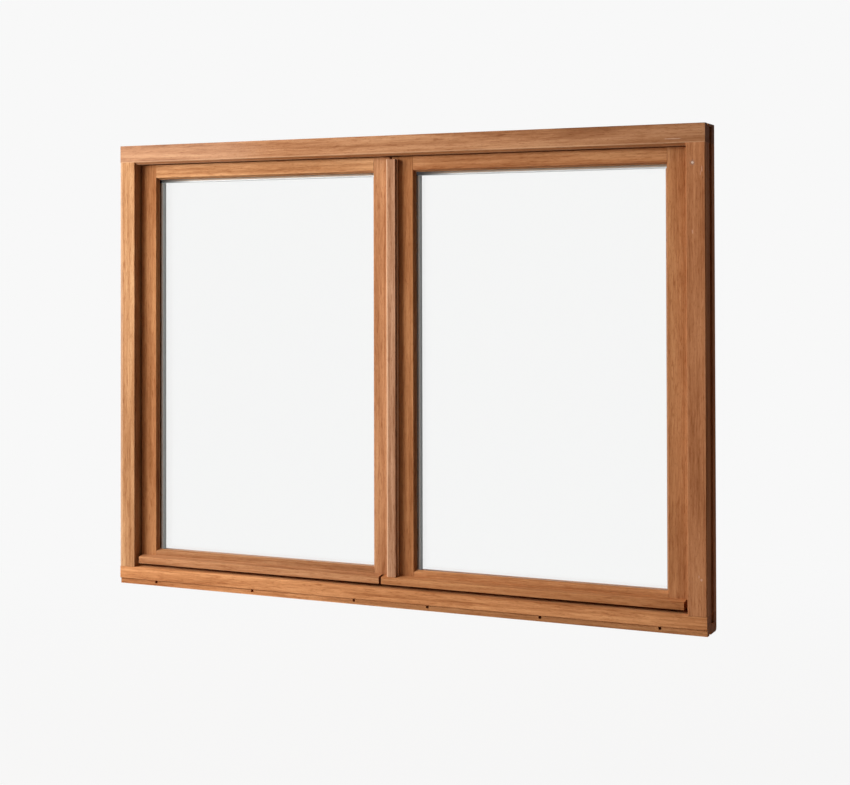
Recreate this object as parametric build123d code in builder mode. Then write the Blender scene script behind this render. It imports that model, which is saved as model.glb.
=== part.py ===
# Double casement window: a square hardwood frame with two side-hung leaves that open outward.
# Millimetres. X runs along the window, the outside faces -Y and Z is up.
# The origin is the middle of the sill's underside, half way through the frame's depth.
# A depth is measured back from the frame's front face.

import os

from build123d import *

# Frame, overall
overall_width = 1480.0
overall_height = 1080.0
frame_depth = 76.0
frame_arris = 1.8

# Jambs, head and the stops that the leaves close against
jamb_face = 42.0
head_face = 41.0
stop_thickness = 24.0
stop_height = 12.0
wall_groove_setback = 34.0
wall_groove_width = 20.0
wall_groove_depth = 9.0
wall_groove_cap = 5.0
wall_groove_sill_run = 21.0
head_fall_setback = 1.0
head_fall = 5.5
head_kerf_setback = 20.0
head_kerf_width = 8.0
head_kerf_depth = 5.0

# Sill
sill_height = 42.0
sill_stop_rise = 18.0
weathering_setback = 3.0
weathering_rise = 5.0
lip_height = 13.0
lip_setback = 4.0
lip_thickness = 14.0
sill_kerf_width = 12.0
sill_kerf_height = 6.0
sill_rear_round = 8.0
weep_diameter = 7.0
weep_depth = 25.0
weep_height = 9.0
weep_pitch = 271.5
weep_group_offset = 365.0
weeps_per_leaf = 3

# Leaves
leaf_gap = 4.0
leaf_head_gap = 1.5
leaf_sill_gap = 10.0
stop_clearance = 4.0
seal_thickness = 2.0
seal_inset = 1.0
hinge_stile_face = 43.0
top_rail_face = 31.5
bottom_rail_face = 29.5
leaf_arris = 1.5
meeting_sight = 50.0
meeting_line = -6.0
meeting_gap = 6.0
meeting_lap = 12.0

# Glazing
bevel_width = 3.5
bevel_depth = 9.0
glass_rebate = 14.0
glass_clearance = 2.0
gasket_thickness = 2.0
gasket_show = 0.5
pane_thickness = 4.0
cavity = 20.0
spacer_width = 9.0
spacer_side_inset = 7.0
spacer_top_inset = 11.0
bead_thickness = 13.0
bead_set = 3.0
bead_chamfer = 6.0

# Drip rails
drip_projection = 19.0
drip_drop = 1.0
drip_front_height = 16.0
drip_slope = 4.0
drip_end_inset = 5.0
drip_joint = -27.0
drip_joint_gap = 6.0
drip_arris = 1.5
drip_kerf_setback = 6.0
drip_kerf_width = 4.0
drip_kerf_height = 4.0

# Astragal, carried by the right leaf
astragal_width = 24.0
astragal_thickness = 15.0
astragal_top_drop = 6.0
astragal_chamfer = 2.5
astragal_ledge = 1.5
astragal_ledge_thickness = 8.0

# Places that follow from the sizes above
half_width = overall_width / 2
jamb_inner = half_width - jamb_face
stop_inner = jamb_inner - stop_height
head_under = overall_height - head_face
rebate_depth = frame_depth - stop_thickness
sill_stop_top = sill_height + sill_stop_rise
flange_back = rebate_depth - seal_thickness
leaf_thickness = bevel_depth + gasket_thickness + 2 * pane_thickness + cavity + bead_thickness
leaf_setback = frame_depth - leaf_thickness
leaf_side = jamb_inner - leaf_gap
leaf_top = head_under - head_fall - leaf_head_gap
leaf_bottom = sill_height + leaf_sill_gap
core_side = stop_inner - stop_clearance
core_top = head_under - stop_height - stop_clearance
core_bottom = sill_stop_top + stop_clearance
hinge_sight = leaf_side - hinge_stile_face
top_sight = leaf_top - top_rail_face
bottom_sight = leaf_bottom + bottom_rail_face
shoulder_depth = leaf_setback + bevel_depth
glass_top = top_sight - bevel_width
glass_bottom = bottom_sight + bevel_width
rebate_top = glass_top + glass_rebate
rebate_bottom = glass_bottom - glass_rebate
hinge_rebate = hinge_sight - bevel_width + glass_rebate
meeting_rebate = meeting_sight + bevel_width - glass_rebate
pane_top = rebate_top - glass_clearance
pane_bottom = rebate_bottom + glass_clearance
pane_hinge = hinge_rebate - glass_clearance
pane_meeting = meeting_rebate + glass_clearance
outer_pane_depth = shoulder_depth + gasket_thickness
inner_pane_depth = outer_pane_depth + pane_thickness + cavity
bead_depth = inner_pane_depth + pane_thickness
drip_setback = leaf_setback - drip_projection
drip_bottom = leaf_bottom - drip_drop
drip_front_top = drip_bottom + drip_front_height
drip_back_top = drip_front_top + drip_slope
astragal_setback = leaf_setback - astragal_thickness

# The right leaf's edge along the meeting line stands in front of the left leaf's lap
sides = {"left": -1, "right": 1}
meeting_edge = {"left": meeting_line - meeting_gap / 2, "right": meeting_line + meeting_gap / 2}
meeting_core = {"left": meeting_edge["left"] + meeting_lap, "right": meeting_edge["right"] + meeting_lap}
meeting_step = {"left": rebate_depth, "right": flange_back}
drip_end = {"left": drip_joint - drip_joint_gap / 2, "right": drip_joint + drip_joint_gap / 2}


def back(depth):
    """Y of a depth behind the frame's front face."""
    return depth - frame_depth / 2


def plan_face(outline, height):
    """A level face at a height, from (x, depth) points."""
    with BuildSketch(Plane.XY.offset(height)) as face:
        with BuildLine():
            Polyline(*[(x, back(depth)) for x, depth in outline], close=True)
        make_face()
    return face.sketch


def end_face(outline, x):
    """A face square to X, from (depth, height) points."""
    with BuildSketch(Plane.YZ.offset(x)) as face:
        with BuildLine():
            Polyline(*[(back(depth), height) for depth, height in outline], close=True)
        make_face()
    return face.sketch


def front_face(left, right, bottom, top, depth):
    """An upright rectangle at a depth, which extrudes backwards by a negative amount."""
    with BuildSketch(Plane.XZ.offset(-back(depth))) as face:
        with Locations(((left + right) / 2, (bottom + top) / 2)):
            Rectangle(right - left, top - bottom)
    return face.sketch


def front_edges(piece, axis):
    """The edges along an axis on a piece's front face."""
    return piece.edges().filter_by(axis).group_by(Axis.Y)[0]


def keep(piece, name):
    """Label a finished piece and write its file."""
    piece.part.label = name
    export_step(piece.part, f"parts/{name}.step")
    return piece.part


# Frame
def cut_wall_grooves(bottom, top):
    """Carry the jambs' wall grooves on through the ends of the head or the sill."""
    groove_back = wall_groove_setback + wall_groove_width
    groove_floor = half_width - wall_groove_depth
    for sign in sides.values():
        outline = [
            (sign * half_width, wall_groove_setback),
            (sign * half_width, groove_back),
            (sign * groove_floor, groove_back),
            (sign * groove_floor, wall_groove_setback),
        ]
        extrude(plan_face(outline, bottom), amount=top - bottom, mode=Mode.SUBTRACT)


def make_jamb(side, sign):
    """A jamb between the sill and the head, with its stop and the groove on its wall side."""
    groove_back = wall_groove_setback + wall_groove_width
    groove_floor = half_width - wall_groove_depth
    outline = [
        (half_width, 0),
        (half_width, wall_groove_setback),
        (groove_floor, wall_groove_setback),
        (groove_floor, groove_back),
        (half_width, groove_back),
        (half_width, frame_depth),
        (stop_inner, frame_depth),
        (stop_inner, rebate_depth),
        (jamb_inner, rebate_depth),
        (jamb_inner, 0),
    ]
    section = plan_face([(sign * x, depth) for x, depth in outline], sill_height)
    with BuildPart() as jamb:
        extrude(section, amount=head_under - sill_height)
        fillet(front_edges(jamb, Axis.Z), frame_arris)
    return keep(jamb, f"frame_{side}_jamb")


def make_head():
    """The head over both jambs: a bevelled fall and a stop between them, and a kerf along its top."""
    kerf_back = head_kerf_setback + head_kerf_width
    kerf_floor = overall_height - head_kerf_depth
    outline = [
        (0, head_under),
        (0, overall_height),
        (head_kerf_setback, overall_height),
        (head_kerf_setback, kerf_floor),
        (kerf_back, kerf_floor),
        (kerf_back, overall_height),
        (frame_depth, overall_height),
        (frame_depth, head_under),
    ]
    fall = [
        (head_fall_setback, head_under),
        (head_fall_setback + head_fall, head_under - head_fall),
        (rebate_depth, head_under - head_fall),
        (rebate_depth, head_under),
    ]
    stop = [
        (rebate_depth, head_under),
        (frame_depth, head_under),
        (frame_depth, head_under - stop_height),
        (rebate_depth, head_under - stop_height),
    ]
    with BuildPart() as head:
        extrude(end_face(outline, -half_width), amount=overall_width)
        fillet(front_edges(head, Axis.X).sort_by(Axis.Z)[-1], frame_arris)
        extrude(end_face(fall, -jamb_inner), amount=2 * jamb_inner)
        extrude(end_face(stop, -stop_inner), amount=2 * stop_inner)
        cut_wall_grooves(head_under, overall_height - wall_groove_cap)
    return keep(head, "frame_head")


def make_sill():
    """The sill under both jambs: a drip lip, a kerf behind it, a sloped top, a stop and weep holes."""
    kerf_front = lip_setback + lip_thickness
    kerf_back = kerf_front + sill_kerf_width
    outline = [
        (0, lip_height),
        (0, sill_height),
        (frame_depth, sill_height),
        (frame_depth, 0),
        (kerf_back, 0),
        (kerf_back, sill_kerf_height),
        (kerf_front, sill_kerf_height),
        (kerf_front, 0),
        (lip_setback, 0),
        (lip_setback, lip_height),
    ]
    slope = [
        (weathering_setback, sill_height),
        (rebate_depth, sill_height + weathering_rise),
        (rebate_depth, sill_height),
    ]
    stop = [
        (rebate_depth, sill_height),
        (rebate_depth, sill_stop_top),
        (frame_depth, sill_stop_top),
        (frame_depth, sill_height),
    ]
    with BuildPart() as sill:
        extrude(end_face(outline, -half_width), amount=overall_width)
        fillet(front_edges(sill, Axis.X), frame_arris)
        fillet(sill.edges().filter_by(Axis.X).group_by(Axis.Y)[-1].sort_by(Axis.Z)[0], sill_rear_round)
        extrude(end_face(slope, -jamb_inner), amount=2 * jamb_inner)
        extrude(end_face(stop, -stop_inner), amount=2 * stop_inner)
        cut_wall_grooves(sill_height - wall_groove_sill_run, sill_height)
        with BuildSketch(Plane.XZ.offset(-back(0))):
            for sign in sides.values():
                with Locations((sign * weep_group_offset, weep_height)):
                    with GridLocations(weep_pitch, 0, weeps_per_leaf, 1):
                        Circle(weep_diameter / 2)
        extrude(amount=-weep_depth, mode=Mode.SUBTRACT)
    return keep(sill, "frame_sill")


def make_frame_seal():
    """The weather seal on the frame's stops, which the closed leaves press on."""
    outer_side = leaf_side - seal_inset
    inner_side = stop_inner + seal_inset
    outer_top = leaf_top - seal_inset
    inner_top = head_under - stop_height + seal_inset
    outer_bottom = leaf_bottom + seal_inset
    inner_bottom = sill_stop_top - seal_inset
    with BuildPart() as seal:
        extrude(
            front_face(-outer_side, outer_side, outer_bottom, outer_top, flange_back),
            amount=-seal_thickness,
        )
        extrude(
            front_face(-inner_side, inner_side, inner_bottom, inner_top, flange_back),
            amount=-seal_thickness,
            mode=Mode.SUBTRACT,
        )
    return keep(seal, "frame_seal")


# Leaves
def notch_ends(piece):
    """The two cuts that let a stile's ends pass the head's and the sill's stops."""
    box = piece.part.bounding_box()
    for bottom, top in ((leaf_bottom, core_bottom), (core_top, leaf_top)):
        extrude(
            front_face(box.min.X, box.max.X, bottom, top, flange_back),
            amount=-(frame_depth - flange_back),
            mode=Mode.SUBTRACT,
        )


def make_hinge_stile(side, sign):
    """The stile beside the jamb, full height, with a bevelled sight edge and a glazing rebate."""
    outline = [
        (leaf_side, leaf_setback),
        (leaf_side, flange_back),
        (core_side, flange_back),
        (core_side, frame_depth),
        (hinge_rebate, frame_depth),
        (hinge_rebate, shoulder_depth),
        (hinge_sight - bevel_width, shoulder_depth),
        (hinge_sight, leaf_setback),
    ]
    section = plan_face([(sign * x, depth) for x, depth in outline], leaf_bottom)
    with BuildPart() as stile:
        extrude(section, amount=leaf_top - leaf_bottom)
        notch_ends(stile)
        outer_edge = front_edges(stile, Axis.Z).sort_by(lambda edge: abs(edge.center().X))[-1]
        fillet(outer_edge, leaf_arris)
    return keep(stile, f"{side}_hinge_stile")


def make_meeting_stile(side, sign):
    """The stile at the meeting line; the right one laps in front of the left one."""
    outline = [
        (meeting_edge[side], leaf_setback),
        (meeting_edge[side], meeting_step[side]),
        (meeting_core[side], meeting_step[side]),
        (meeting_core[side], frame_depth),
        (sign * meeting_rebate, frame_depth),
        (sign * meeting_rebate, shoulder_depth),
        (sign * (meeting_sight + bevel_width), shoulder_depth),
        (sign * meeting_sight, leaf_setback),
    ]
    with BuildPart() as stile:
        extrude(plan_face(outline, leaf_bottom), amount=leaf_top - leaf_bottom)
        notch_ends(stile)
    return keep(stile, f"{side}_meeting_stile")


def make_rail(name, sign, outline, stiles):
    """A rail between two stiles, with its ends scribed over their bevels and rebates."""
    ends = sorted((sign * meeting_rebate, sign * hinge_rebate))
    with BuildPart() as rail:
        extrude(end_face(outline, ends[0]), amount=ends[1] - ends[0])
        for stile in stiles:
            add(stile, mode=Mode.SUBTRACT)
    return keep(rail, name)


def make_top_rail(side, sign, stiles):
    """The top rail."""
    outline = [
        (leaf_setback, top_sight),
        (leaf_setback, leaf_top),
        (flange_back, leaf_top),
        (flange_back, core_top),
        (frame_depth, core_top),
        (frame_depth, rebate_top),
        (shoulder_depth, rebate_top),
        (shoulder_depth, glass_top),
    ]
    return make_rail(f"{side}_top_rail", sign, outline, stiles)


def make_bottom_rail(side, sign, stiles):
    """The bottom rail, which carries the drip rail."""
    outline = [
        (leaf_setback, bottom_sight),
        (leaf_setback, leaf_bottom),
        (flange_back, leaf_bottom),
        (flange_back, core_bottom),
        (frame_depth, core_bottom),
        (frame_depth, rebate_bottom),
        (shoulder_depth, rebate_bottom),
        (shoulder_depth, glass_bottom),
    ]
    return make_rail(f"{side}_bottom_rail", sign, outline, stiles)


def make_drip_rail(side, sign):
    """The drip rail along a leaf's foot: a sloped top and a kerf that sheds water under it."""
    kerf_front = drip_setback + drip_kerf_setback
    kerf_back = kerf_front + drip_kerf_width
    kerf_top = drip_bottom + drip_kerf_height
    outline = [
        (drip_setback, drip_bottom),
        (drip_setback, drip_front_top),
        (leaf_setback, drip_back_top),
        (leaf_setback, drip_bottom),
        (kerf_back, drip_bottom),
        (kerf_back, kerf_top),
        (kerf_front, kerf_top),
        (kerf_front, drip_bottom),
    ]
    ends = sorted((drip_end[side], sign * (leaf_side - drip_end_inset)))
    with BuildPart() as drip:
        extrude(end_face(outline, ends[0]), amount=ends[1] - ends[0])
        fillet(front_edges(drip, Axis.X), drip_arris)
    return keep(drip, f"{side}_drip_rail")


def make_pane(name, sign, depth):
    """One pane of a sealed unit."""
    ends = sorted((sign * pane_meeting, sign * pane_hinge))
    with BuildPart() as pane:
        extrude(front_face(*ends, pane_bottom, pane_top, depth), amount=-pane_thickness)
    return keep(pane, name)


def make_ring(name, sign, width, depth, thickness):
    """A flat ring of a given width round the edge of the panes."""
    ends = sorted((sign * pane_meeting, sign * pane_hinge))
    with BuildPart() as ring:
        extrude(front_face(*ends, pane_bottom, pane_top, depth), amount=-thickness)
        extrude(
            front_face(ends[0] + width, ends[1] - width, pane_bottom + width, pane_top - width, depth),
            amount=-thickness,
            mode=Mode.SUBTRACT,
        )
    return keep(ring, name)


def make_spacer(name, sign, depth):
    """The bar between two panes, low in the unit: it shows at the sides and the top."""
    ends = sorted((sign * pane_meeting, sign * pane_hinge))
    left = ends[0] + spacer_side_inset
    right = ends[1] - spacer_side_inset
    top = pane_top - spacer_top_inset
    opening = front_face(
        left + spacer_width,
        right - spacer_width,
        pane_bottom + spacer_width,
        top - spacer_width,
        depth,
    )
    with BuildPart() as spacer:
        extrude(front_face(left, right, pane_bottom, top, depth), amount=-cavity)
        extrude(opening, amount=-cavity, mode=Mode.SUBTRACT)
    return keep(spacer, name)


def bead_outline(wall, sight):
    """A bead's section from the rebate's wall to the sight line, as (place, depth) points."""
    slope = bead_chamfer if wall > sight else -bead_chamfer
    return [
        (wall, bead_depth),
        (wall, frame_depth),
        (sight + slope, frame_depth),
        (sight, frame_depth - bead_chamfer),
        (sight, bead_depth),
    ]


def make_beads(side, sign):
    """The four glazing beads on the inside: two uprights, and two between them with scribed ends."""
    bead_width = glass_rebate - bead_set
    hinge = bead_outline(hinge_rebate, hinge_rebate - bead_width)
    meeting = bead_outline(meeting_rebate, meeting_rebate + bead_width)
    uprights = []
    for place, outline in (("hinge", hinge), ("meeting", meeting)):
        with BuildPart() as bead:
            face = plan_face([(sign * x, depth) for x, depth in outline], rebate_bottom)
            extrude(face, amount=rebate_top - rebate_bottom)
        uprights.append(keep(bead, f"{side}_{place}_bead"))
    ends = sorted((sign * meeting_rebate, sign * hinge_rebate))
    for place, wall, width in (("top", rebate_top, -bead_width), ("bottom", rebate_bottom, bead_width)):
        with BuildPart() as bead:
            outline = bead_outline(wall, wall + width)
            face = end_face([(depth, height) for height, depth in outline], ends[0])
            extrude(face, amount=ends[1] - ends[0])
            for upright in uprights:
                add(upright, mode=Mode.SUBTRACT)
        keep(bead, f"{side}_{place}_bead")


def make_leaf(side, sign):
    """One leaf: stiles, rails, the sealed unit with its gasket and beads, and its drip rail."""
    stiles = [make_hinge_stile(side, sign), make_meeting_stile(side, sign)]
    make_top_rail(side, sign, stiles)
    make_bottom_rail(side, sign, stiles)
    gasket_width = glass_rebate - glass_clearance + gasket_show
    make_ring(f"{side}_gasket", sign, gasket_width, shoulder_depth, gasket_thickness)
    make_pane(f"{side}_outer_pane", sign, outer_pane_depth)
    make_spacer(f"{side}_spacer", sign, outer_pane_depth + pane_thickness)
    make_pane(f"{side}_inner_pane", sign, inner_pane_depth)
    make_beads(side, sign)
    return make_drip_rail(side, sign)


def make_astragal(foot):
    """The astragal that covers the meeting line, standing on the right leaf's drip rail."""
    half = astragal_width / 2
    ledge_depth = leaf_setback - astragal_ledge_thickness
    outline = [
        (-half, leaf_setback),
        (-half, astragal_setback + astragal_chamfer),
        (-half + astragal_chamfer, astragal_setback),
        (half, astragal_setback),
        (half, ledge_depth),
        (half + astragal_ledge, ledge_depth),
        (half + astragal_ledge, leaf_setback),
    ]
    with BuildPart() as astragal:
        extrude(plan_face(outline, drip_bottom), amount=leaf_top - astragal_top_drop - drip_bottom)
        under_foot = front_face(-half, half + astragal_ledge, drip_bottom, drip_front_top, 0)
        extrude(under_foot, amount=-leaf_setback, mode=Mode.SUBTRACT)
        add(foot, mode=Mode.SUBTRACT)
    return keep(astragal, "astragal")


def make_meeting_seal():
    """The seal strip between the right leaf's edge and the left leaf's lap."""
    left = meeting_edge["right"] + seal_inset
    right = meeting_core["left"] - seal_inset
    with BuildPart() as seal:
        extrude(front_face(left, right, core_bottom, core_top, flange_back), amount=-seal_thickness)
    return keep(seal, "meeting_seal")


os.makedirs("parts", exist_ok=True)
make_head()
make_sill()
make_frame_seal()
drips = {}
for side, sign in sides.items():
    make_jamb(side, sign)
    drips[side] = make_leaf(side, sign)
make_astragal(drips["right"])
make_meeting_seal()
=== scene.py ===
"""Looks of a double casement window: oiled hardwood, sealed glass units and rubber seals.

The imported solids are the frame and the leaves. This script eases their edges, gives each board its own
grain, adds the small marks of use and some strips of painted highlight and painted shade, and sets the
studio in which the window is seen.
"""

import logging
import math
from dataclasses import dataclass
from enum import Enum
from typing import Any, Dict, List, Optional, Sequence, Tuple, Union

import bmesh
import bpy
from mathutils import Matrix, Vector


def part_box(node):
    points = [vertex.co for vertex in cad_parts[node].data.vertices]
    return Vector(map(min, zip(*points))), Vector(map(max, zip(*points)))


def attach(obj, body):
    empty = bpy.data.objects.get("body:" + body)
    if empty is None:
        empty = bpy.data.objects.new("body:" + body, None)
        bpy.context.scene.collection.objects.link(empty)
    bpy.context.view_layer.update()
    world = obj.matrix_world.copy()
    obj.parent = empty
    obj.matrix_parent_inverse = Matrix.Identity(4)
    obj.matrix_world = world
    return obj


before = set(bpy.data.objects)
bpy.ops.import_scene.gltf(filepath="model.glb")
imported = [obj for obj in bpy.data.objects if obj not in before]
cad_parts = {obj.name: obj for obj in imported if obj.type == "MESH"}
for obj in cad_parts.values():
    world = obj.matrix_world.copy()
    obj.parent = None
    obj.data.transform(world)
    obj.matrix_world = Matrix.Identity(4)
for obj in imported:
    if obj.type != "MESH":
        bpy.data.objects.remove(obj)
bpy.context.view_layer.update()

LOG = logging.getLogger("casement_window")
BODY = "root"
MM = 0.001

Colour = Tuple[float, float, float]
Point = Tuple[float, float, float]
Span = Tuple[float, float]
WHITE: Colour = (1.0, 1.0, 1.0)

SPECKLE_ON_ROUGHNESS = 0.15
MERGED_CORNERS = 0.02 * MM
EASED_SEGMENTS = 3


class Value:
    """A number in a shader: arithmetic on it adds Math nodes."""

    def __init__(self, graph: "Graph", socket: bpy.types.NodeSocket) -> None:
        """Keep the graph and the output socket that the number comes from."""
        self.graph = graph
        self.socket = socket

    def _math(self, operation: str, first: Any, second: Any) -> "Value":
        """Add one Math node.

        Args:
            operation: the Math node's operation.
            first: its first input, a Value or a number.
            second: its second input, a Value or a number.

        Returns:
            The node's result.
        """
        node = self.graph.node("ShaderNodeMath", {"operation": operation}, {0: first, 1: second})
        return Value(self.graph, node.outputs[0])

    def __add__(self, other: Any) -> "Value":
        """Sum."""
        return self._math("ADD", self, other)

    __radd__ = __add__

    def __sub__(self, other: Any) -> "Value":
        """Difference."""
        return self._math("SUBTRACT", self, other)

    def __rsub__(self, other: Any) -> "Value":
        """Difference from a number."""
        return self._math("SUBTRACT", other, self)

    def __mul__(self, other: Any) -> "Value":
        """Product."""
        return self._math("MULTIPLY", self, other)

    __rmul__ = __mul__

    def __truediv__(self, other: Any) -> "Value":
        """Quotient."""
        return self._math("DIVIDE", self, other)

    def __abs__(self) -> "Value":
        """Size without its sign."""
        return self._math("ABSOLUTE", self, 0.0)

    def at_least(self, other: Any) -> "Value":
        """The larger of two numbers."""
        return self._math("MAXIMUM", self, other)


class Graph:
    """A node tree that is filled node by node."""

    def __init__(self, tree: bpy.types.NodeTree) -> None:
        """Start from an empty tree."""
        self.tree = tree
        self.tree.nodes.clear()

    def node(self, kind: str, settings: Optional[Dict[str, Any]] = None,
             inputs: Optional[Dict[Union[str, int], Any]] = None) -> bpy.types.Node:
        """Add a node.

        Args:
            kind: the node's type.
            settings: properties that are set first; "stops" fills a colour ramp.
            inputs: values or links by a socket's identifier, name or number.

        Returns:
            The new node.
        """
        node = self.tree.nodes.new(kind)
        for key, value in (settings or {}).items():
            if key == "stops":
                self._fill_ramp(node.color_ramp, value)
            else:
                setattr(node, key, value)
        for key, value in (inputs or {}).items():
            socket = self._socket(node, key)
            if isinstance(value, Value):
                self.tree.links.new(value.socket, socket)
            elif isinstance(value, bpy.types.NodeSocket):
                self.tree.links.new(value, socket)
            else:
                socket.default_value = value
        return node

    @staticmethod
    def _socket(node: bpy.types.Node, key: Union[str, int]) -> bpy.types.NodeSocket:
        """Find an input of a node.

        Args:
            node: the node.
            key: the input's identifier, name or number.

        Returns:
            The input's socket.
        """
        if isinstance(key, int):
            return node.inputs[key]
        for socket in node.inputs:
            if socket.identifier == key:
                return socket
        return node.inputs[key]

    @staticmethod
    def _fill_ramp(ramp: bpy.types.ColorRamp, stops: Sequence[Tuple[float, Colour]]) -> None:
        """Give a colour ramp its stops.

        Args:
            ramp: the colour ramp.
            stops: each stop's place and colour, in order.
        """
        while len(ramp.elements) < len(stops):
            ramp.elements.new(1.0)
        for element, (place, colour) in zip(ramp.elements, stops):
            element.position = place
            element.color = (*colour, 1.0)

    def value(self, node: bpy.types.Node, output: Union[str, int] = 0) -> Value:
        """One of a node's outputs as a number."""
        return Value(self, node.outputs[output])

    def blend(self, mode: str, factor: Any, first: Any, second: Any) -> bpy.types.NodeSocket:
        """Mix two colours.

        Args:
            mode: the Mix node's blend type.
            factor: how much of the second colour shows.
            first: a colour or a colour socket.
            second: a colour or a colour socket.

        Returns:
            The mixed colour.
        """
        sockets = {"Factor_Float": factor, "A_Color": first, "B_Color": second}
        node = self.node("ShaderNodeMix", {"data_type": "RGBA", "blend_type": mode}, sockets)
        return next(output for output in node.outputs if output.identifier == "Result_Color")

    def ramp_between(self, number: Any, low: float, high: float) -> Value:
        """A smooth step.

        Args:
            number: the number that is looked at.
            low: where the step starts, at 0.
            high: where it ends, at 1.

        Returns:
            The step's height.
        """
        settings = {"interpolation_type": "SMOOTHSTEP", "clamp": True}
        inputs = {"Value": number, "From Min": low, "From Max": high}
        return self.value(self.node("ShaderNodeMapRange", settings, inputs), "Result")


def opaque(colour: Colour) -> Tuple[float, float, float, float]:
    """A colour with full alpha, as a colour socket takes it."""
    return (*colour, 1.0)


def toned(colour: Colour, tone: float) -> Colour:
    """A colour that is made lighter or darker by a factor."""
    return tuple(tone * channel for channel in colour)


def new_material(name: str) -> Tuple[bpy.types.Material, Graph]:
    """An empty node material.

    Args:
        name: the material's name.

    Returns:
        The material and its graph.
    """
    material = bpy.data.materials.new(name)
    material.use_nodes = True
    return material, Graph(material.node_tree)


class Grain(Enum):
    """The way a board's fibres run."""

    LEVEL = 0
    UPRIGHT = 2

    def scale(self, along: float, across: float) -> Point:
        """Pattern repeats per metre on the three axes."""
        return tuple(along if axis == self.value else across for axis in range(3))

    def axis(self) -> Point:
        """The fibres' direction."""
        return tuple(float(axis == self.value) for axis in range(3))


@dataclass(frozen=True)
class Mark:
    """A mark on a board, either a real scuff or stain or a strip of painted highlight or painted shade: its
    place, half sizes in metres, strength and colour.

    A half size far larger than the board carries it all along. It goes right through the board, or lies
    only between two given depths in Y.
    """

    x: float
    z: float
    half_width: float
    half_height: float
    strength: float
    colour: Colour = (0.72, 0.47, 0.34)
    depths: Optional[Span] = None


@dataclass(frozen=True)
class Streaks:
    """A noise drawn out along the fibres: repeats per metre along and across, detail and distortion."""

    along: float
    across: float
    detail: float
    distortion: float = 0.0


SEED_STEPS = (1.0, 1.7, 2.3)
FIBRE = Streaks(26.0, 360.0, 4.0)
PORES = Streaks(110.0, 1150.0, 2.0)
FLECKS = Streaks(34.0, 300.0, 1.0, 0.3)
RAGGED_EDGE = Streaks(260.0, 420.0, 2.0)


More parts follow.
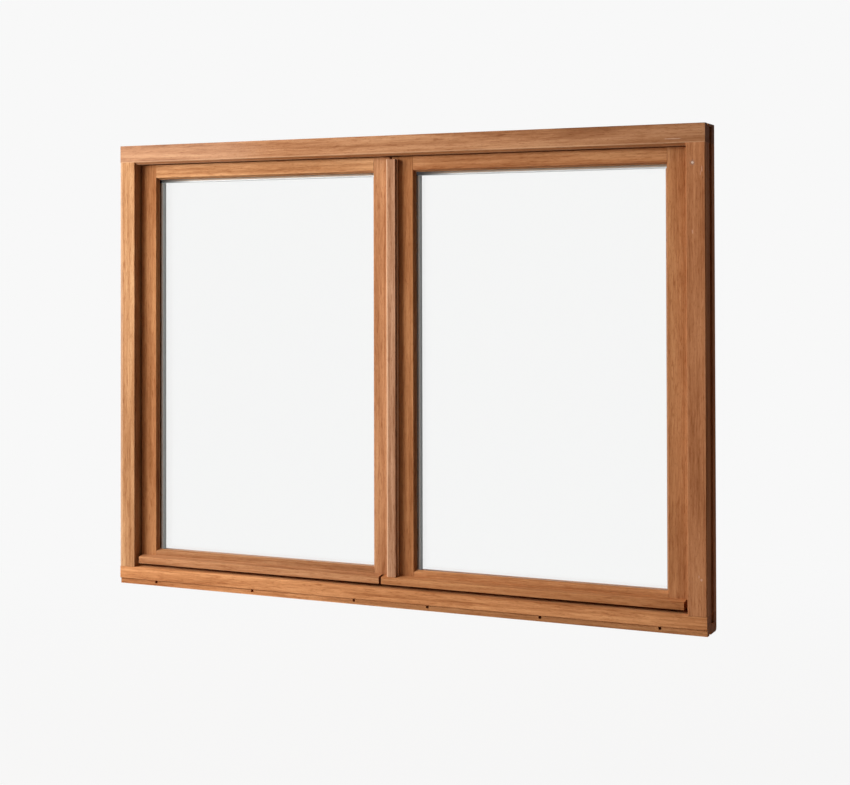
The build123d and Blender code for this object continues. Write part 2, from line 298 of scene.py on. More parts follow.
@dataclass(frozen=True)
class OiledBoard:
    """One oiled hardwood board, with its own stretch of grain and its own tone."""

    name: str
    grain: Grain
    seed: float
    tone: float = 1.0
    warmth: Colour = WHITE
    figure_across: float = 30.0
    marks: Tuple[Mark, ...] = ()

    late_wood: Colour = (0.27, 0.101, 0.038)
    heart: Colour = (0.41, 0.176, 0.075)
    early_wood: Colour = (0.52, 0.245, 0.113)
    pale_streak: Colour = (0.64, 0.341, 0.168)
    stops: Tuple[float, float, float, float] = (0.37, 0.465, 0.55, 0.66)
    pore: Colour = (0.46, 0.32, 0.24)
    fleck: Colour = (0.66, 0.52, 0.44)
    end_shade: Colour = (0.52, 0.42, 0.36)

    figure_share: float = 0.40
    growth_share: float = 0.34
    fibre_share: float = 0.26
    pore_share: float = 0.55
    fleck_share: float = 0.60
    pore_span: Span = (0.56, 0.70)
    fleck_span: Span = (0.58, 0.72)
    end_grain_span: Span = (0.75, 0.95)
    mark_span: Span = (0.35, 1.15)
    mark_raggedness: float = 1.6
    mark_blur: float = 0.5 * MM
    noise_roughness: float = 0.6
    roughness: float = 0.56
    fibre_on_roughness: float = 0.25
    pores_on_roughness: float = 0.12
    gloss_level: float = 0.14
    relief: float = 0.25 * MM
    relief_strength: float = 0.35

    def _pattern(self, graph: Graph, place: bpy.types.NodeSocket, streaks: Streaks) -> Value:
        """A noise that is drawn out along the board's fibres.

        Args:
            graph: the material's graph.
            place: the Object coordinate.
            streaks: the noise's size and kind.

        Returns:
            The noise, around 0.5.
        """
        mapping = graph.node("ShaderNodeMapping", {"vector_type": "POINT"}, {
            "Vector": place,
            "Location": tuple(step * self.seed for step in SEED_STEPS),
            "Scale": self.grain.scale(streaks.along, streaks.across),
        })
        noise = graph.node("ShaderNodeTexNoise", None, {
            "Vector": mapping.outputs[0],
            "Scale": 1.0,
            "Detail": streaks.detail,
            "Roughness": self.noise_roughness,
            "Distortion": streaks.distortion,
        })
        return graph.value(noise, 0)

    def _marked(self, graph: Graph, place: bpy.types.NodeSocket,
                colour: bpy.types.NodeSocket) -> bpy.types.NodeSocket:
        """Lay the marks over a board's colour: scuffs and stains, and strips of painted highlight and
        painted shade.

        Args:
            graph: the material's graph.
            place: the Object coordinate.
            colour: the clean board's colour.

        Returns:
            The board's colour with its marks.
        """
        if not self.marks:
            return colour
        split = graph.node("ShaderNodeSeparateXYZ", None, {0: place})
        across, depth, height = (graph.value(split, axis) for axis in "XYZ")
        ragged = (self._pattern(graph, place, RAGGED_EDGE) - 0.5) * self.mark_raggedness
        for mark in self.marks:
            off_x = abs(across - mark.x) / mark.half_width
            off_z = abs(height - mark.z) / mark.half_height
            distance = off_x * off_x + off_z * off_z + ragged
            cover = (1.0 - graph.ramp_between(distance, *self.mark_span)) * mark.strength
            if mark.depths is not None:
                front, rear = mark.depths
                blur = self.mark_blur
                cover = cover * graph.ramp_between(depth, front - blur, front + blur)
                cover = cover * (1.0 - graph.ramp_between(depth, rear - blur, rear + blur))
            colour = graph.blend("MIX", cover, colour, opaque(mark.colour))
        return colour

    def material(self) -> bpy.types.Material:
        """Build the board's material.

        Returns:
            The material.
        """
        material, graph = new_material(self.name)
        place = graph.node("ShaderNodeTexCoord").outputs["Object"]
        figure = self._pattern(graph, place, Streaks(2.6, self.figure_across, 3.0, 0.6))
        growth = self._pattern(graph, place, Streaks(1.6, 3.4 * self.figure_across, 2.0, 0.45))
        fibre = self._pattern(graph, place, FIBRE)
        pores = graph.ramp_between(self._pattern(graph, place, PORES), *self.pore_span)
        flecks = graph.ramp_between(self._pattern(graph, place, FLECKS), *self.fleck_span)
        shade = figure * self.figure_share + growth * self.growth_share + fibre * self.fibre_share
        woods = (self.late_wood, self.heart, self.early_wood, self.pale_streak)
        ramp = graph.node("ShaderNodeValToRGB", {"stops": list(zip(self.stops, woods))}, {0: shade})
        colour = graph.blend("MULTIPLY", pores * self.pore_share, ramp.outputs[0], opaque(self.pore))
        colour = graph.blend("MULTIPLY", flecks * self.fleck_share, colour, opaque(self.fleck))
        colour = graph.blend("MULTIPLY", 1.0, colour, opaque(toned(self.warmth, self.tone)))
        facing = graph.node("ShaderNodeVectorMath", {"operation": "DOT_PRODUCT"}, {
            0: graph.node("ShaderNodeNewGeometry").outputs["Normal"],
            1: self.grain.axis(),
        })
        end_grain = graph.ramp_between(abs(graph.value(facing, "Value")), *self.end_grain_span)
        colour = graph.blend("MULTIPLY", end_grain, colour, opaque(self.end_shade))
        colour = self._marked(graph, place, colour)
        relief = graph.node("ShaderNodeBump", None, {
            "Strength": self.relief_strength,
            "Distance": self.relief,
            "Height": fibre * 0.5 - pores * 0.5,
        })
        fibre_effect = (fibre - 0.5) * self.fibre_on_roughness
        shader = graph.node("ShaderNodeBsdfPrincipled", None, {
            "Base Color": colour,
            "Roughness": self.roughness + fibre_effect + pores * self.pores_on_roughness,
            "Specular IOR Level": self.gloss_level,
            "Normal": relief.outputs[0],
        })
        graph.node("ShaderNodeOutputMaterial", None, {"Surface": shader.outputs[0]})
        return material


@dataclass(frozen=True)
class ClearGlass:
    """Clear float glass, through which lamps still light what lies behind."""

    name: str
    tint: Colour = (0.985, 0.988, 0.986)
    bending: float = 1.5
    haze: float = 0.015
    haze_repeats: float = 6.0

    def material(self) -> bpy.types.Material:
        """Build the glass.

        Returns:
            The material.
        """
        material, graph = new_material(self.name)
        place = graph.node("ShaderNodeTexCoord").outputs["Object"]
        noise = graph.node("ShaderNodeTexNoise", None, {
            "Vector": place, "Scale": self.haze_repeats, "Detail": 3.0,
        })
        glass = graph.node("ShaderNodeBsdfPrincipled", None, {
            "Base Color": opaque(self.tint),
            "Roughness": graph.value(noise, 0) * self.haze,
            "Transmission Weight": 1.0,
            "IOR": self.bending,
        })
        clear = graph.node("ShaderNodeBsdfTransparent", None, {"Color": opaque(self.tint)})
        path = graph.node("ShaderNodeLightPath")
        mixed = graph.node("ShaderNodeMixShader", None, {
            0: graph.value(path, "Is Shadow Ray"),
            1: glass.outputs[0],
            2: clear.outputs[0],
        })
        graph.node("ShaderNodeOutputMaterial", None, {"Surface": mixed.outputs[0]})
        return material


@dataclass(frozen=True)
class FineFinish:
    """A quiet finish with a fine speckle: rubber, gasket or filler."""

    name: str
    dark: Colour
    light: Colour
    roughness: float
    speckle: float = 900.0
    relief: float = 0.1 * MM
    relief_strength: float = 0.2

    def material(self) -> bpy.types.Material:
        """Build the finish.

        Returns:
            The material.
        """
        material, graph = new_material(self.name)
        place = graph.node("ShaderNodeTexCoord").outputs["Object"]
        noise = graph.node("ShaderNodeTexNoise", None, {
            "Vector": place, "Scale": self.speckle, "Detail": 3.0,
        })
        amount = graph.value(noise, 0)
        colour = graph.blend("MIX", amount, opaque(self.dark), opaque(self.light))
        relief = graph.node("ShaderNodeBump", None, {
            "Strength": self.relief_strength, "Distance": self.relief, "Height": amount,
        })
        shader = graph.node("ShaderNodeBsdfPrincipled", None, {
            "Base Color": colour,
            "Roughness": self.roughness + (amount - 0.5) * SPECKLE_ON_ROUGHNESS,
            "Normal": relief.outputs[0],
        })
        graph.node("ShaderNodeOutputMaterial", None, {"Surface": shader.outputs[0]})
        return material


def dress(node: str, material: bpy.types.Material) -> None:
    """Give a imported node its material.

    Args:
        node: the node's name.
        material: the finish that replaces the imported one.
    """
    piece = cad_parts[node]
    piece.data.materials.clear()
    piece.data.materials.append(material)
    LOG.info("%s wears %s", node, material.name)


def ease_edges(node: str, width: float, sharper_than: float = 50.0) -> None:
    """Round a board's sharp edges a little, as sanding and oil leave them.

    Args:
        node: the node's name.
        width: the width of the rounding, in metres.
        sharper_than: the least angle between faces, in degrees, at which an edge is rounded.
    """
    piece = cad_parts[node]
    weld = piece.modifiers.new("joined_corners", "WELD")
    weld.merge_threshold = MERGED_CORNERS
    bevel = piece.modifiers.new("eased_edges", "BEVEL")
    bevel.width = width
    bevel.segments = EASED_SEGMENTS
    bevel.limit_method = "ANGLE"
    bevel.angle_limit = math.radians(sharper_than)
    bevel.harden_normals = True


@dataclass
class OuterFrame:
    """The fixed frame: head, sill and jambs, with its seal and the filled screw hole."""

    edge: float = 0.5 * MM
    plug_radius: float = 2.6 * MM
    plug_height: float = 0.5 * MM
    plug_proud: float = 0.05 * MM
    plug_drop: float = 42.7 * MM
    plug_inset: float = 27.2 * MM
    plug_round: float = 0.15 * MM
    plug_segments: int = 24
    filler: FineFinish = FineFinish(
        "pale_filler", (0.50, 0.36, 0.28), (0.82, 0.68, 0.58), 0.5, speckle=600.0)
    rubber: FineFinish = FineFinish("seal_rubber", (0.010, 0.010, 0.010), (0.030, 0.030, 0.030), 0.6)

    stain: Colour = (0.30, 0.175, 0.125)
    # painted shade on the sill's lip, under its overhang
    nick: Colour = (0.14, 0.055, 0.025)
    painted_lip_shade: Colour = (0.17, 0.070, 0.026)
    scratch: Colour = (0.80, 0.55, 0.40)
    # painted sheen and painted shade for the head's two ends
    painted_sheen: Colour = (0.74, 0.55, 0.44)
    painted_end_shade: Colour = (0.26, 0.11, 0.05)
    # painted highlights along the jambs' arrises
    painted_outer_highlight: Colour = (0.90, 0.64, 0.46)
    painted_inner_highlight: Colour = (0.85, 0.58, 0.40)
    # painted highlight and painted shade on the fall under the head
    painted_fall_highlight: Colour = (0.85, 0.55, 0.33)
    painted_fall_shade: Colour = (0.30, 0.090, 0.018)
    fall_reach: float = 9.0 * MM
    along_jamb: float = 0.75
    along_head: float = 8.0

    def right_jamb_marks(self) -> Tuple[Mark, ...]:
        """The stain round the plug, scuffs near both ends, and a painted highlight along the inner arris.

        Returns:
            The right jamb's marks.
        """
        low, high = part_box("frame_right_jamb")
        edge, top, foot = high.x, high.z, low.z
        return (
            Mark(edge - self.plug_inset, top - self.plug_drop, 6.5 * MM, 7.0 * MM, 0.55, self.stain),
            Mark(edge - 7.0 * MM, top - 57.0 * MM, 1.3 * MM, 8.0 * MM, 0.45),
            Mark(edge - 10.0 * MM, top - 66.0 * MM, 1.0 * MM, 6.0 * MM, 0.30),
            Mark(edge - 5.0 * MM, top - 75.0 * MM, 1.6 * MM, 3.0 * MM, 0.50, self.nick),
            Mark(edge - 27.6 * MM, top - 189.0 * MM, 1.8 * MM, 5.0 * MM, 0.35),
            Mark(edge - 11.5 * MM, foot + 77.0 * MM, 2.6 * MM, 3.2 * MM, 0.55),
            Mark(edge - 17.0 * MM, foot + 83.0 * MM, 1.6 * MM, 4.0 * MM, 0.30),
            # painted highlight along the inner arris
            Mark(low.x + 1.0 * MM, 0.5 * (foot + top), 1.3 * MM, self.along_jamb, 0.40, self.painted_inner_highlight),
        )

    def left_jamb_marks(self) -> Tuple[Mark, ...]:
        """A painted highlight along the outer arris.

        Returns:
            The left jamb's marks.
        """
        low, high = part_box("frame_left_jamb")
        middle = 0.5 * (low.z + high.z)
        # painted highlight along the outer arris
        return (Mark(low.x + 3.0 * MM, middle, 5.0 * MM, self.along_jamb, 0.25, self.painted_outer_highlight),)

    def head_marks(self) -> Tuple[Mark, ...]:
        """Painted sheen on the left end, painted shade on the right end, a scratch, and a painted highlight
        and painted shade on the fall below.

        Returns:
            The head's marks.
        """
        low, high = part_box("frame_head")
        middle = 0.5 * (low.z + high.z)
        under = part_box("frame_right_jamb")[1].z
        fall = (low.y - 1.0 * MM, low.y + self.fall_reach)
        return (
            # painted sheen on the left end and painted shade on the right end
            Mark(low.x + 120.0 * MM, middle, 300.0 * MM, 80.0 * MM, 0.09, self.painted_sheen),
            Mark(high.x - 120.0 * MM, middle, 300.0 * MM, 80.0 * MM, 0.16, self.painted_end_shade),
            Mark(high.x - 70.0 * MM, high.z - 32.0 * MM, 20.0 * MM, 1.3 * MM, 0.45, self.scratch),
            # painted highlight, then painted shade, on the fall under the head
            Mark(0.0, under + 0.6 * MM, self.along_head, 1.6 * MM, 0.22, self.painted_fall_highlight, fall),
            Mark(0.0, under - 2.9 * MM, self.along_head, 1.9 * MM, 0.55, self.painted_fall_shade, fall),
        )

    def sill_marks(self) -> Tuple[Mark, ...]:
        """Painted shade along the lip under the sill's overhang, mostly towards the right."""
        low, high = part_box("frame_sill")
        # painted shade along the lip, mostly on the right
        return (Mark(0.42 * high.x, low.z + 5.0 * MM, 0.75 * high.x, 8.5 * MM, 0.42, self.painted_lip_shade),)

    def boards(self) -> Dict[str, OiledBoard]:
        """The frame's boards and their finishes.

        Returns:
            Each board's finish by its node.
        """
        level, upright = Grain.LEVEL, Grain.UPRIGHT
        # each board's tone and warmth is its own colour, partly painted light: the left jamb is paler and
        # cooler as a painted sheen, the right jamb warmer and darker
        return {
            "frame_head": OiledBoard(
                "head_board", level, 1.3, 0.95, (1.0, 1.06, 1.14), marks=self.head_marks()),
            "frame_sill": OiledBoard(
                "sill_board", level, 4.1, 1.26, (1.0, 0.98, 0.90), marks=self.sill_marks()),
            "frame_left_jamb": OiledBoard(
                "left_jamb_board", upright, 7.7, 1.01, (1.0, 1.11, 1.14), marks=self.left_jamb_marks()),
            "frame_right_jamb": OiledBoard(
                "right_jamb_board", upright, 9.2, 0.97, (1.0, 0.93, 0.90), marks=self.right_jamb_marks()),
        }

    def build(self) -> None:
        """Dress the frame and add the filled screw hole."""
        for node, board in self.boards().items():
            dress(node, board.material())
            ease_edges(node, self.edge)
        rubber = self.rubber.material()
        for node in ("frame_seal", "meeting_seal"):
            dress(node, rubber)
        self.add_plug()

    def add_plug(self) -> bpy.types.Object:
        """Make the pale filler plug near the top of the right jamb.

        Returns:
            The plug.
        """
        low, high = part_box("frame_right_jamb")
        mesh = bmesh.new()
        bmesh.ops.create_circle(mesh, cap_ends=True, segments=self.plug_segments, radius=self.plug_radius)
        grown = bmesh.ops.extrude_face_region(mesh, geom=mesh.faces[:])
        top = [item for item in grown["geom"] if isinstance(item, bmesh.types.BMVert)]
        bmesh.ops.translate(mesh, verts=top, vec=(0.0, 0.0, self.plug_height))
        rim = [edge for edge in mesh.edges if all(vert in top for vert in edge.verts)]
        bmesh.ops.bevel(mesh, geom=rim, offset=self.plug_round, segments=2, profile=0.5,
                        affect="EDGES", material=-1)
        bmesh.ops.rotate(mesh, verts=mesh.verts, matrix=Matrix.Rotation(math.pi / 2, 3, "X"))
        place = Vector((
            high.x - self.plug_inset,
            low.y + self.plug_height - self.plug_proud,
            high.z - self.plug_drop,
        ))
        bmesh.ops.translate(mesh, verts=mesh.verts, vec=place)
        bmesh.ops.recalc_face_normals(mesh, faces=mesh.faces)
        data = bpy.data.meshes.new("jamb_plug")
        mesh.to_mesh(data)
        mesh.free()
        plug = bpy.data.objects.new("jamb_plug", data)
        bpy.context.scene.collection.objects.link(plug)
        data.materials.append(self.filler.material())
        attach(plug, BODY)
        LOG.info("jamb_plug added")
        return plug


class Side(Enum):
    """A leaf's place, seen from outside."""

    LEFT = "left"
    RIGHT = "right"


# each board's tone and warmth is its own colour, partly painted light: the top rails are lighter to offset
# the head's shadow
LEFT_TONES: Dict[str, Tuple[float, Colour]] = {
    "hinge_stile": (0.84, (1.0, 0.92, 0.80)),
    "meeting_stile": (0.96, (1.0, 0.98, 0.98)),
    "top_rail": (1.16, (1.0, 1.06, 1.04)),
    "bottom_rail": (0.83, (1.0, 1.0, 0.98)),
    "drip_rail": (0.97, WHITE),
}
RIGHT_TONES: Dict[str, Tuple[float, Colour]] = {
    "hinge_stile": (0.89, (1.0, 0.93, 0.84)),
    "meeting_stile": (0.90, (1.0, 0.92, 0.80)),
    "top_rail": (0.97, (1.0, 0.93, 0.84)),
    "bottom_rail": (1.17, (1.0, 0.98, 0.90)),
    "drip_rail": (1.00, (1.0, 0.94, 0.83)),
}
BEAD_TONE: Tuple[float, Colour] = (0.96, WHITE)


@dataclass
class Leaf:
    """One leaf's wood: its stiles, rails, drip rail and glazing beads."""

    side: Side
    seed: float
    tones: Dict[str, Tuple[float, Colour]]
    edge: float = 1.2 * MM
    bead_edge: float = 0.6 * MM

    def board(self, part: str, grain: Grain, step: float) -> OiledBoard:
        """The finish of one of the leaf's boards.

        Args:
            part: the board's name without its side.
            grain: the way its fibres run.
            step: how far its grain is from the leaf's first board.

        Returns:
            The board's finish.
        """
        tone, warmth = self.tones.get(part, BEAD_TONE)
        return OiledBoard(f"{self.side.value}_{part}_board", grain, self.seed + step, tone, warmth)

    def build(self) -> None:
        """Dress every piece of the leaf."""
        boards = [
            ("hinge_stile", Grain.UPRIGHT, 0.0, self.edge),
            ("meeting_stile", Grain.UPRIGHT, 3.1, self.edge),
            ("top_rail", Grain.LEVEL, 5.9, self.edge),
            ("bottom_rail", Grain.LEVEL, 8.3, self.edge),
            ("drip_rail", Grain.LEVEL, 11.7, 0.5 * self.edge),
            ("top_bead", Grain.LEVEL, 13.0, self.bead_edge),
            ("bottom_bead", Grain.LEVEL, 14.6, self.bead_edge),
            ("hinge_bead", Grain.UPRIGHT, 16.4, self.bead_edge),
            ("meeting_bead", Grain.UPRIGHT, 18.1, self.bead_edge),
        ]
        for part, grain, step, edge in boards:
            node = f"{self.side.value}_{part}"
            dress(node, self.board(part, grain, step).material())
            ease_edges(node, edge)


@dataclass(frozen=True)
class SpacerBar:
    """The bar between one leaf's panes: matt grey metal beside the cavity, and a seal along its faces.

    The seal is brown up the sides, where it laps on to the metal. Along the top it starts from a painted
    shadow in the top left corner and leaves a pale lower edge. The metal has painted shade towards the
    rear, and is paler along the top.
    """

    side: Side
    tone: float
    dark_metal: Colour = (0.115, 0.122, 0.120)
    light_metal: Colour = (0.165, 0.174, 0.171)
    top_metal: Colour = (0.78, 0.77, 0.75)
    # painted shade towards the rear of the metal
    painted_rear_shade: Colour = (0.45, 0.48, 0.50)
    side_seal: Colour = (0.58, 0.30, 0.15)
    # painted shadow in the bar's top left corner
    painted_corner_shadow: Colour = (0.050, 0.040, 0.032)
    top_seal: Colour = (0.50, 0.34, 0.23)
    lapped_seal: Colour = (0.32, 0.19, 0.11)
    width: float = 9.0 * MM
    corner_shadow_reach: float = 110.0 * MM
    top_starts: Span = (-2.0 * MM, -0.5 * MM)
    seal_starts: Span = (1.5 * MM, 3.5 * MM)
    lap_share: float = 0.25
    lap_blur: float = 1.0 * MM
    face_span: Span = (0.6, 0.9)
    roughness: float = 0.6
    speckle: float = 300.0

    def node(self) -> str:
        """The name of the bar's node."""
        return f"{self.side.value}_spacer"

    def colours(self, graph: Graph,
                amount: Value) -> Tuple[bpy.types.NodeSocket, bpy.types.NodeSocket]:
        """The metal's and the seal's colours, by their place on the bar.

        Args:
            graph: the material's graph.
            amount: the metal's speckle, around 0.5.

        Returns:
            The metal's colour and the seal's.
        """
        low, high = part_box(self.node())
        place = graph.node("ShaderNodeTexCoord").outputs["Object"]
        split = graph.node("ShaderNodeSeparateXYZ", None, {0: place})
        across, depth, height = (graph.value(split, axis) for axis in "XYZ")
        inner_end = low.x + self.width
        # the painted corner shadow fades out over this stretch from the left end
        along = graph.ramp_between(across, inner_end, inner_end + self.corner_shadow_reach)
        top_end = high.z - self.width
        on_top = graph.ramp_between(height, *(top_end + start for start in self.top_starts))
        above = graph.ramp_between(height, *(top_end + start for start in self.seal_starts))
        top = graph.blend("MIX", above, opaque(self.top_metal), opaque(self.top_seal))
        top = graph.blend("MIX", along, opaque(self.painted_corner_shadow), top)
        seal = graph.blend("MIX", on_top, opaque(self.side_seal), top)
        dark = toned(self.dark_metal, self.tone)
        light = toned(self.light_metal, self.tone)
        metal = graph.blend("MIX", amount, opaque(dark), opaque(light))
        lap_end = low.y + self.lap_share * (high.y - low.y)
        # painted shade, deepening towards the rear
        rearward = graph.ramp_between(depth, lap_end, high.y)
        metal = graph.blend("MULTIPLY", rearward, metal, opaque(self.painted_rear_shade))
        lapped = 1.0 - graph.ramp_between(depth, lap_end - self.lap_blur, lap_end + self.lap_blur)
        metal = graph.blend("MIX", lapped, metal, opaque(self.lapped_seal))
        top_metal = graph.blend("MIX", along, opaque(light), opaque(self.top_metal))
        return graph.blend("MIX", on_top, metal, top_metal), seal

    def material(self) -> bpy.types.Material:
        """Build the bar's finish.

        Returns:
            The material.
        """
        material, graph = new_material(f"{self.side.value}_spacer_bar")
        place = graph.node("ShaderNodeTexCoord").outputs["Object"]
        noise = graph.node("ShaderNodeTexNoise", None, {"Vector": place, "Scale": self.speckle})
        amount = graph.value(noise, 0)
        metal, seal = self.colours(graph, amount)
        normal = graph.node("ShaderNodeNewGeometry").outputs["Normal"]
        split = graph.node("ShaderNodeSeparateXYZ", None, {0: normal})
        face = graph.ramp_between(abs(graph.value(split, "Y")), *self.face_span)
        shader = graph.node("ShaderNodeBsdfPrincipled", None, {
            "Base Color": graph.blend("MIX", face, metal, seal),
            "Roughness": self.roughness + (amount - 0.5) * SPECKLE_ON_ROUGHNESS,
        })
        graph.node("ShaderNodeOutputMaterial", None, {"Surface": shader.outputs[0]})
        return material


@dataclass
class Glazing:
    """The sealed units of both leaves: panes, spacers and gaskets."""

    glass: ClearGlass = ClearGlass("clear_float_glass")
    gasket: FineFinish = FineFinish("brown_gasket", (0.50, 0.22, 0.090), (0.62, 0.29, 0.125), 0.6)
    spacers: Tuple[SpacerBar, ...] = (SpacerBar(Side.LEFT, 2.3), SpacerBar(Side.RIGHT, 1.35))

    def build(self) -> None:
        """Dress the panes, spacers and gaskets."""
        glass = self.glass.material()
        gasket = self.gasket.material()
        for spacer in self.spacers:
            side = spacer.side.value
            dress(f"{side}_outer_pane", glass)
            dress(f"{side}_inner_pane", glass)
            dress(spacer.node(), spacer.material())
            dress(f"{side}_gasket", gasket)


@dataclass
class Astragal:
    """The cover strip on the right leaf: a pinker board, with a painted highlight on its left edge and a
    painted highlight line along its right side.
    """

    edge: float = 1.0 * MM
    sharper_than: float = 30.0
    along_strip: float = 1.5
    painted_edge_highlight: Colour = (0.80, 0.52, 0.34)
    painted_side_highlight: Colour = (0.92, 0.66, 0.46)
    highlight_depth_shares: Span = (0.48, 0.84)

    def marks(self) -> Tuple[Mark, ...]:
        """The painted highlight on the left edge, and the painted highlight line along the right side.

        Returns:
            The strip's marks.
        """
        low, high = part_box("astragal")
        middle = 0.5 * (low.z + high.z)
        front, rear = (low.y + share * (high.y - low.y) for share in self.highlight_depth_shares)
        return (
            # painted highlight on the left edge, then a painted highlight line part way back on the right
            # side
            Mark(low.x + 2.2 * MM, middle, 3.0 * MM, self.along_strip, 0.40, self.painted_edge_highlight),
            Mark(high.x, middle, 3.0 * MM, self.along_strip, 1.0, self.painted_side_highlight, (front, rear)),
        )

    def build(self) -> None:
        """Dress the strip."""
        board = OiledBoard(
            "astragal_board", Grain.UPRIGHT, 21.5, 0.95, (1.0, 1.15, 1.46), 60.0, self.marks())
        dress("astragal", board.material())
        ease_edges("astragal", self.edge, self.sharper_than)


@dataclass(frozen=True)
class SoftLamp:
    """A soft studio lamp: where it stands, what it looks at, its size and its power."""

    name: str
    place: Point
    target: Point
    size: Span
    watts: float
    colour: Colour = WHITE

    def build(self) -> bpy.types.Object:
        """Set up the lamp, which lights the window but shows neither directly nor in its glass.

        Returns:
            The lamp's object.
        """
        data = bpy.data.lights.new(self.name, "AREA")
        data.shape = "RECTANGLE"
        data.size, data.size_y = self.size
        data.energy = self.watts
        data.color = self.colour
        lamp = bpy.data.objects.new(self.name, data)
        lamp.location = self.place
        lamp.visible_camera = False
        lamp.visible_glossy = False
        lamp.visible_transmission = False
        way = Vector(self.target) - Vector(self.place)
        lamp.rotation_euler = way.to_track_quat("-Z", "Y").to_euler()
        bpy.context.scene.collection.objects.link(lamp)
        return lamp


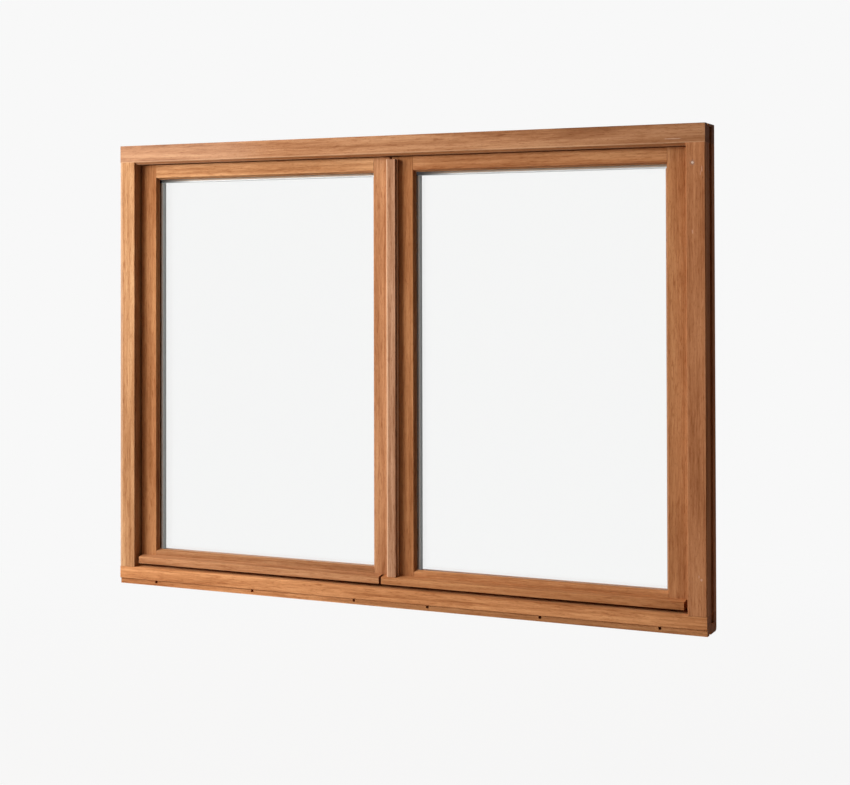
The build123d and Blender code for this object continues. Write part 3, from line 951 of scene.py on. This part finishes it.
@dataclass
class Studio:
    """The pale room round the window: camera, lamps, world and floor."""

    camera_place: Point = (1.6467, -3.4080, 0.7670)
    camera_turn: float = math.radians(24.774)
    camera_rise: float = math.radians(0.747)
    camera_roll: float = math.radians(-0.131)
    lens: float = 69.38
    sensor: float = 36.0
    shift_up: float = -0.16714
    pale: float = 0.939
    fill_left: float = 0.022
    fill_right: float = 0.012
    fill_colour: Colour = (1.0, 0.62, 0.34)
    floor_colour: Colour = (0.46, 0.38, 0.31)
    floor_share: float = 0.03
    gloss_right: float = 0.06
    floor_drop: float = 0.55
    floor_half: float = 40.0
    shadow_fades: Span = (1.0, 4.0)
    room_turns_right: Span = (-0.3, 0.6)
    floor_turns_right: Span = (0.2, 1.8)

    def build(self) -> None:
        """Set up everything that isn't the window."""
        self.add_camera()
        self.add_world()
        self.add_floor()
        for lamp in self.lamps():
            lamp.build()

    def lamps(self) -> List[SoftLamp]:
        """The key lamp on the left, weak ones overhead and behind on the right, and one for the back.

        Returns:
            The lamps.
        """
        return [
            SoftLamp(
                "key_lamp", (-2.9, -2.35, 1.6), (0.0, 0.0, 0.55), (2.2, 1.6), 214.0, (1.0, 1.045, 1.085)),
            SoftLamp("top_lamp", (-0.6, -1.5, 3.3), (0.0, 0.0, 0.5), (2.0, 1.2), 26.0, (1.0, 0.70, 0.46)),
            SoftLamp("rear_lamp", (1.8, 3.0, 1.4), (0.3, 0.0, 0.5), (0.8, 1.2), 30.0, (1.0, 0.76, 0.54)),
            SoftLamp("back_lamp", (-1.7, 2.7, 1.7), (0.0, 0.0, 0.5), (2.0, 1.4), 105.0),
        ]

    def add_camera(self) -> None:
        """Stand the camera where the photograph was taken from."""
        data = bpy.data.cameras.new("camera")
        data.lens = self.lens
        data.sensor_width = self.sensor
        data.shift_y = self.shift_up
        camera = bpy.data.objects.new("camera", data)
        camera.location = self.camera_place
        turn = Matrix.Rotation(self.camera_turn, 3, "Z")
        rise = Matrix.Rotation(math.pi / 2 + self.camera_rise, 3, "X")
        roll = Matrix.Rotation(self.camera_roll, 3, "Z")
        camera.rotation_euler = (turn @ rise @ roll).to_euler()
        bpy.context.scene.collection.objects.link(camera)
        bpy.context.scene.camera = camera

    def seen_directly(self, graph: Graph) -> Tuple[Value, Value]:
        """Tell the rays that show the background from those that only light the window.

        Args:
            graph: the graph of the world or the floor.

        Returns:
            1 for rays from the camera or through glass, and 1 for reflected rays.
        """
        path = graph.node("ShaderNodeLightPath")
        seen = graph.value(path, "Is Camera Ray").at_least(graph.value(path, "Is Transmission Ray"))
        return seen, graph.value(path, "Is Glossy Ray")

    def add_world(self) -> None:
        """Make the world pale where it shows, and elsewhere a low warm fill that is weaker on the right."""
        world = bpy.data.worlds.new("pale_room")
        world.use_nodes = True
        bpy.context.scene.world = world
        graph = Graph(world.node_tree)
        way = graph.node("ShaderNodeTexCoord").outputs["Generated"]
        split = graph.node("ShaderNodeSeparateXYZ", None, {0: way})
        right = graph.ramp_between(graph.value(split, "X"), *self.room_turns_right)
        seen, mirrored = self.seen_directly(graph)
        fill = self.fill_left - right * (self.fill_left - self.fill_right)
        gloss = self.pale - right * (self.pale - self.gloss_right)
        unseen = fill + mirrored * (gloss - fill)
        strength = unseen + seen * (self.pale - unseen)
        shows = seen.at_least(mirrored)
        colour = graph.blend("MIX", shows, opaque(self.fill_colour), opaque(WHITE))
        background = graph.node("ShaderNodeBackground", None, {"Color": colour, "Strength": strength})
        graph.node("ShaderNodeOutputWorld", None, {"Surface": background.outputs[0]})

    def add_floor(self) -> None:
        """Lay the pale floor, which keeps a soft shadow near the window and fades into the room."""
        mesh = bmesh.new()
        bmesh.ops.create_grid(mesh, x_segments=1, y_segments=1, size=self.floor_half)
        bmesh.ops.translate(mesh, verts=mesh.verts, vec=(0.0, 0.0, -self.floor_drop))
        data = bpy.data.meshes.new("floor")
        mesh.to_mesh(data)
        mesh.free()
        floor = bpy.data.objects.new("floor", data)
        bpy.context.scene.collection.objects.link(floor)
        data.materials.append(self.floor_material())

    def floor_material(self) -> bpy.types.Material:
        """A matt pale floor that shows as the room's own pale tone.

        Returns:
            The material.
        """
        material, graph = new_material("pale_floor")
        place = graph.node("ShaderNodeTexCoord").outputs["Object"]
        distance = graph.node("ShaderNodeVectorMath", {"operation": "LENGTH"}, {0: place})
        near = 1.0 - graph.ramp_between(graph.value(distance, "Value"), *self.shadow_fades)
        matt = graph.node("ShaderNodeBsdfDiffuse", None, {"Color": opaque(self.floor_colour)})
        glow = graph.node("ShaderNodeEmission", None, {"Color": opaque(WHITE), "Strength": self.pale})
        split = graph.node("ShaderNodeSeparateXYZ", None, {0: place})
        right = graph.ramp_between(graph.value(split, "X"), *self.floor_turns_right)
        seen, mirrored = self.seen_directly(graph)
        shown = (seen + mirrored * (1.0 - right)) * (1.0 - near * self.floor_share)
        mixed = graph.node("ShaderNodeMixShader", None, {0: shown, 1: matt.outputs[0], 2: glow.outputs[0]})
        graph.node("ShaderNodeOutputMaterial", None, {"Surface": mixed.outputs[0]})
        return material


def main() -> None:
    """Build the window's looks and the studio, in order."""
    logging.basicConfig(level=logging.INFO, format="%(name)s: %(message)s")
    bpy.context.scene.view_settings.view_transform = "Standard"
    OuterFrame().build()
    Leaf(Side.LEFT, seed=31.0, tones=LEFT_TONES).build()
    Leaf(Side.RIGHT, seed=57.0, tones=RIGHT_TONES).build()
    Glazing().build()
    Astragal().build()
    Studio().build()


if __name__ == "__main__":
    main()
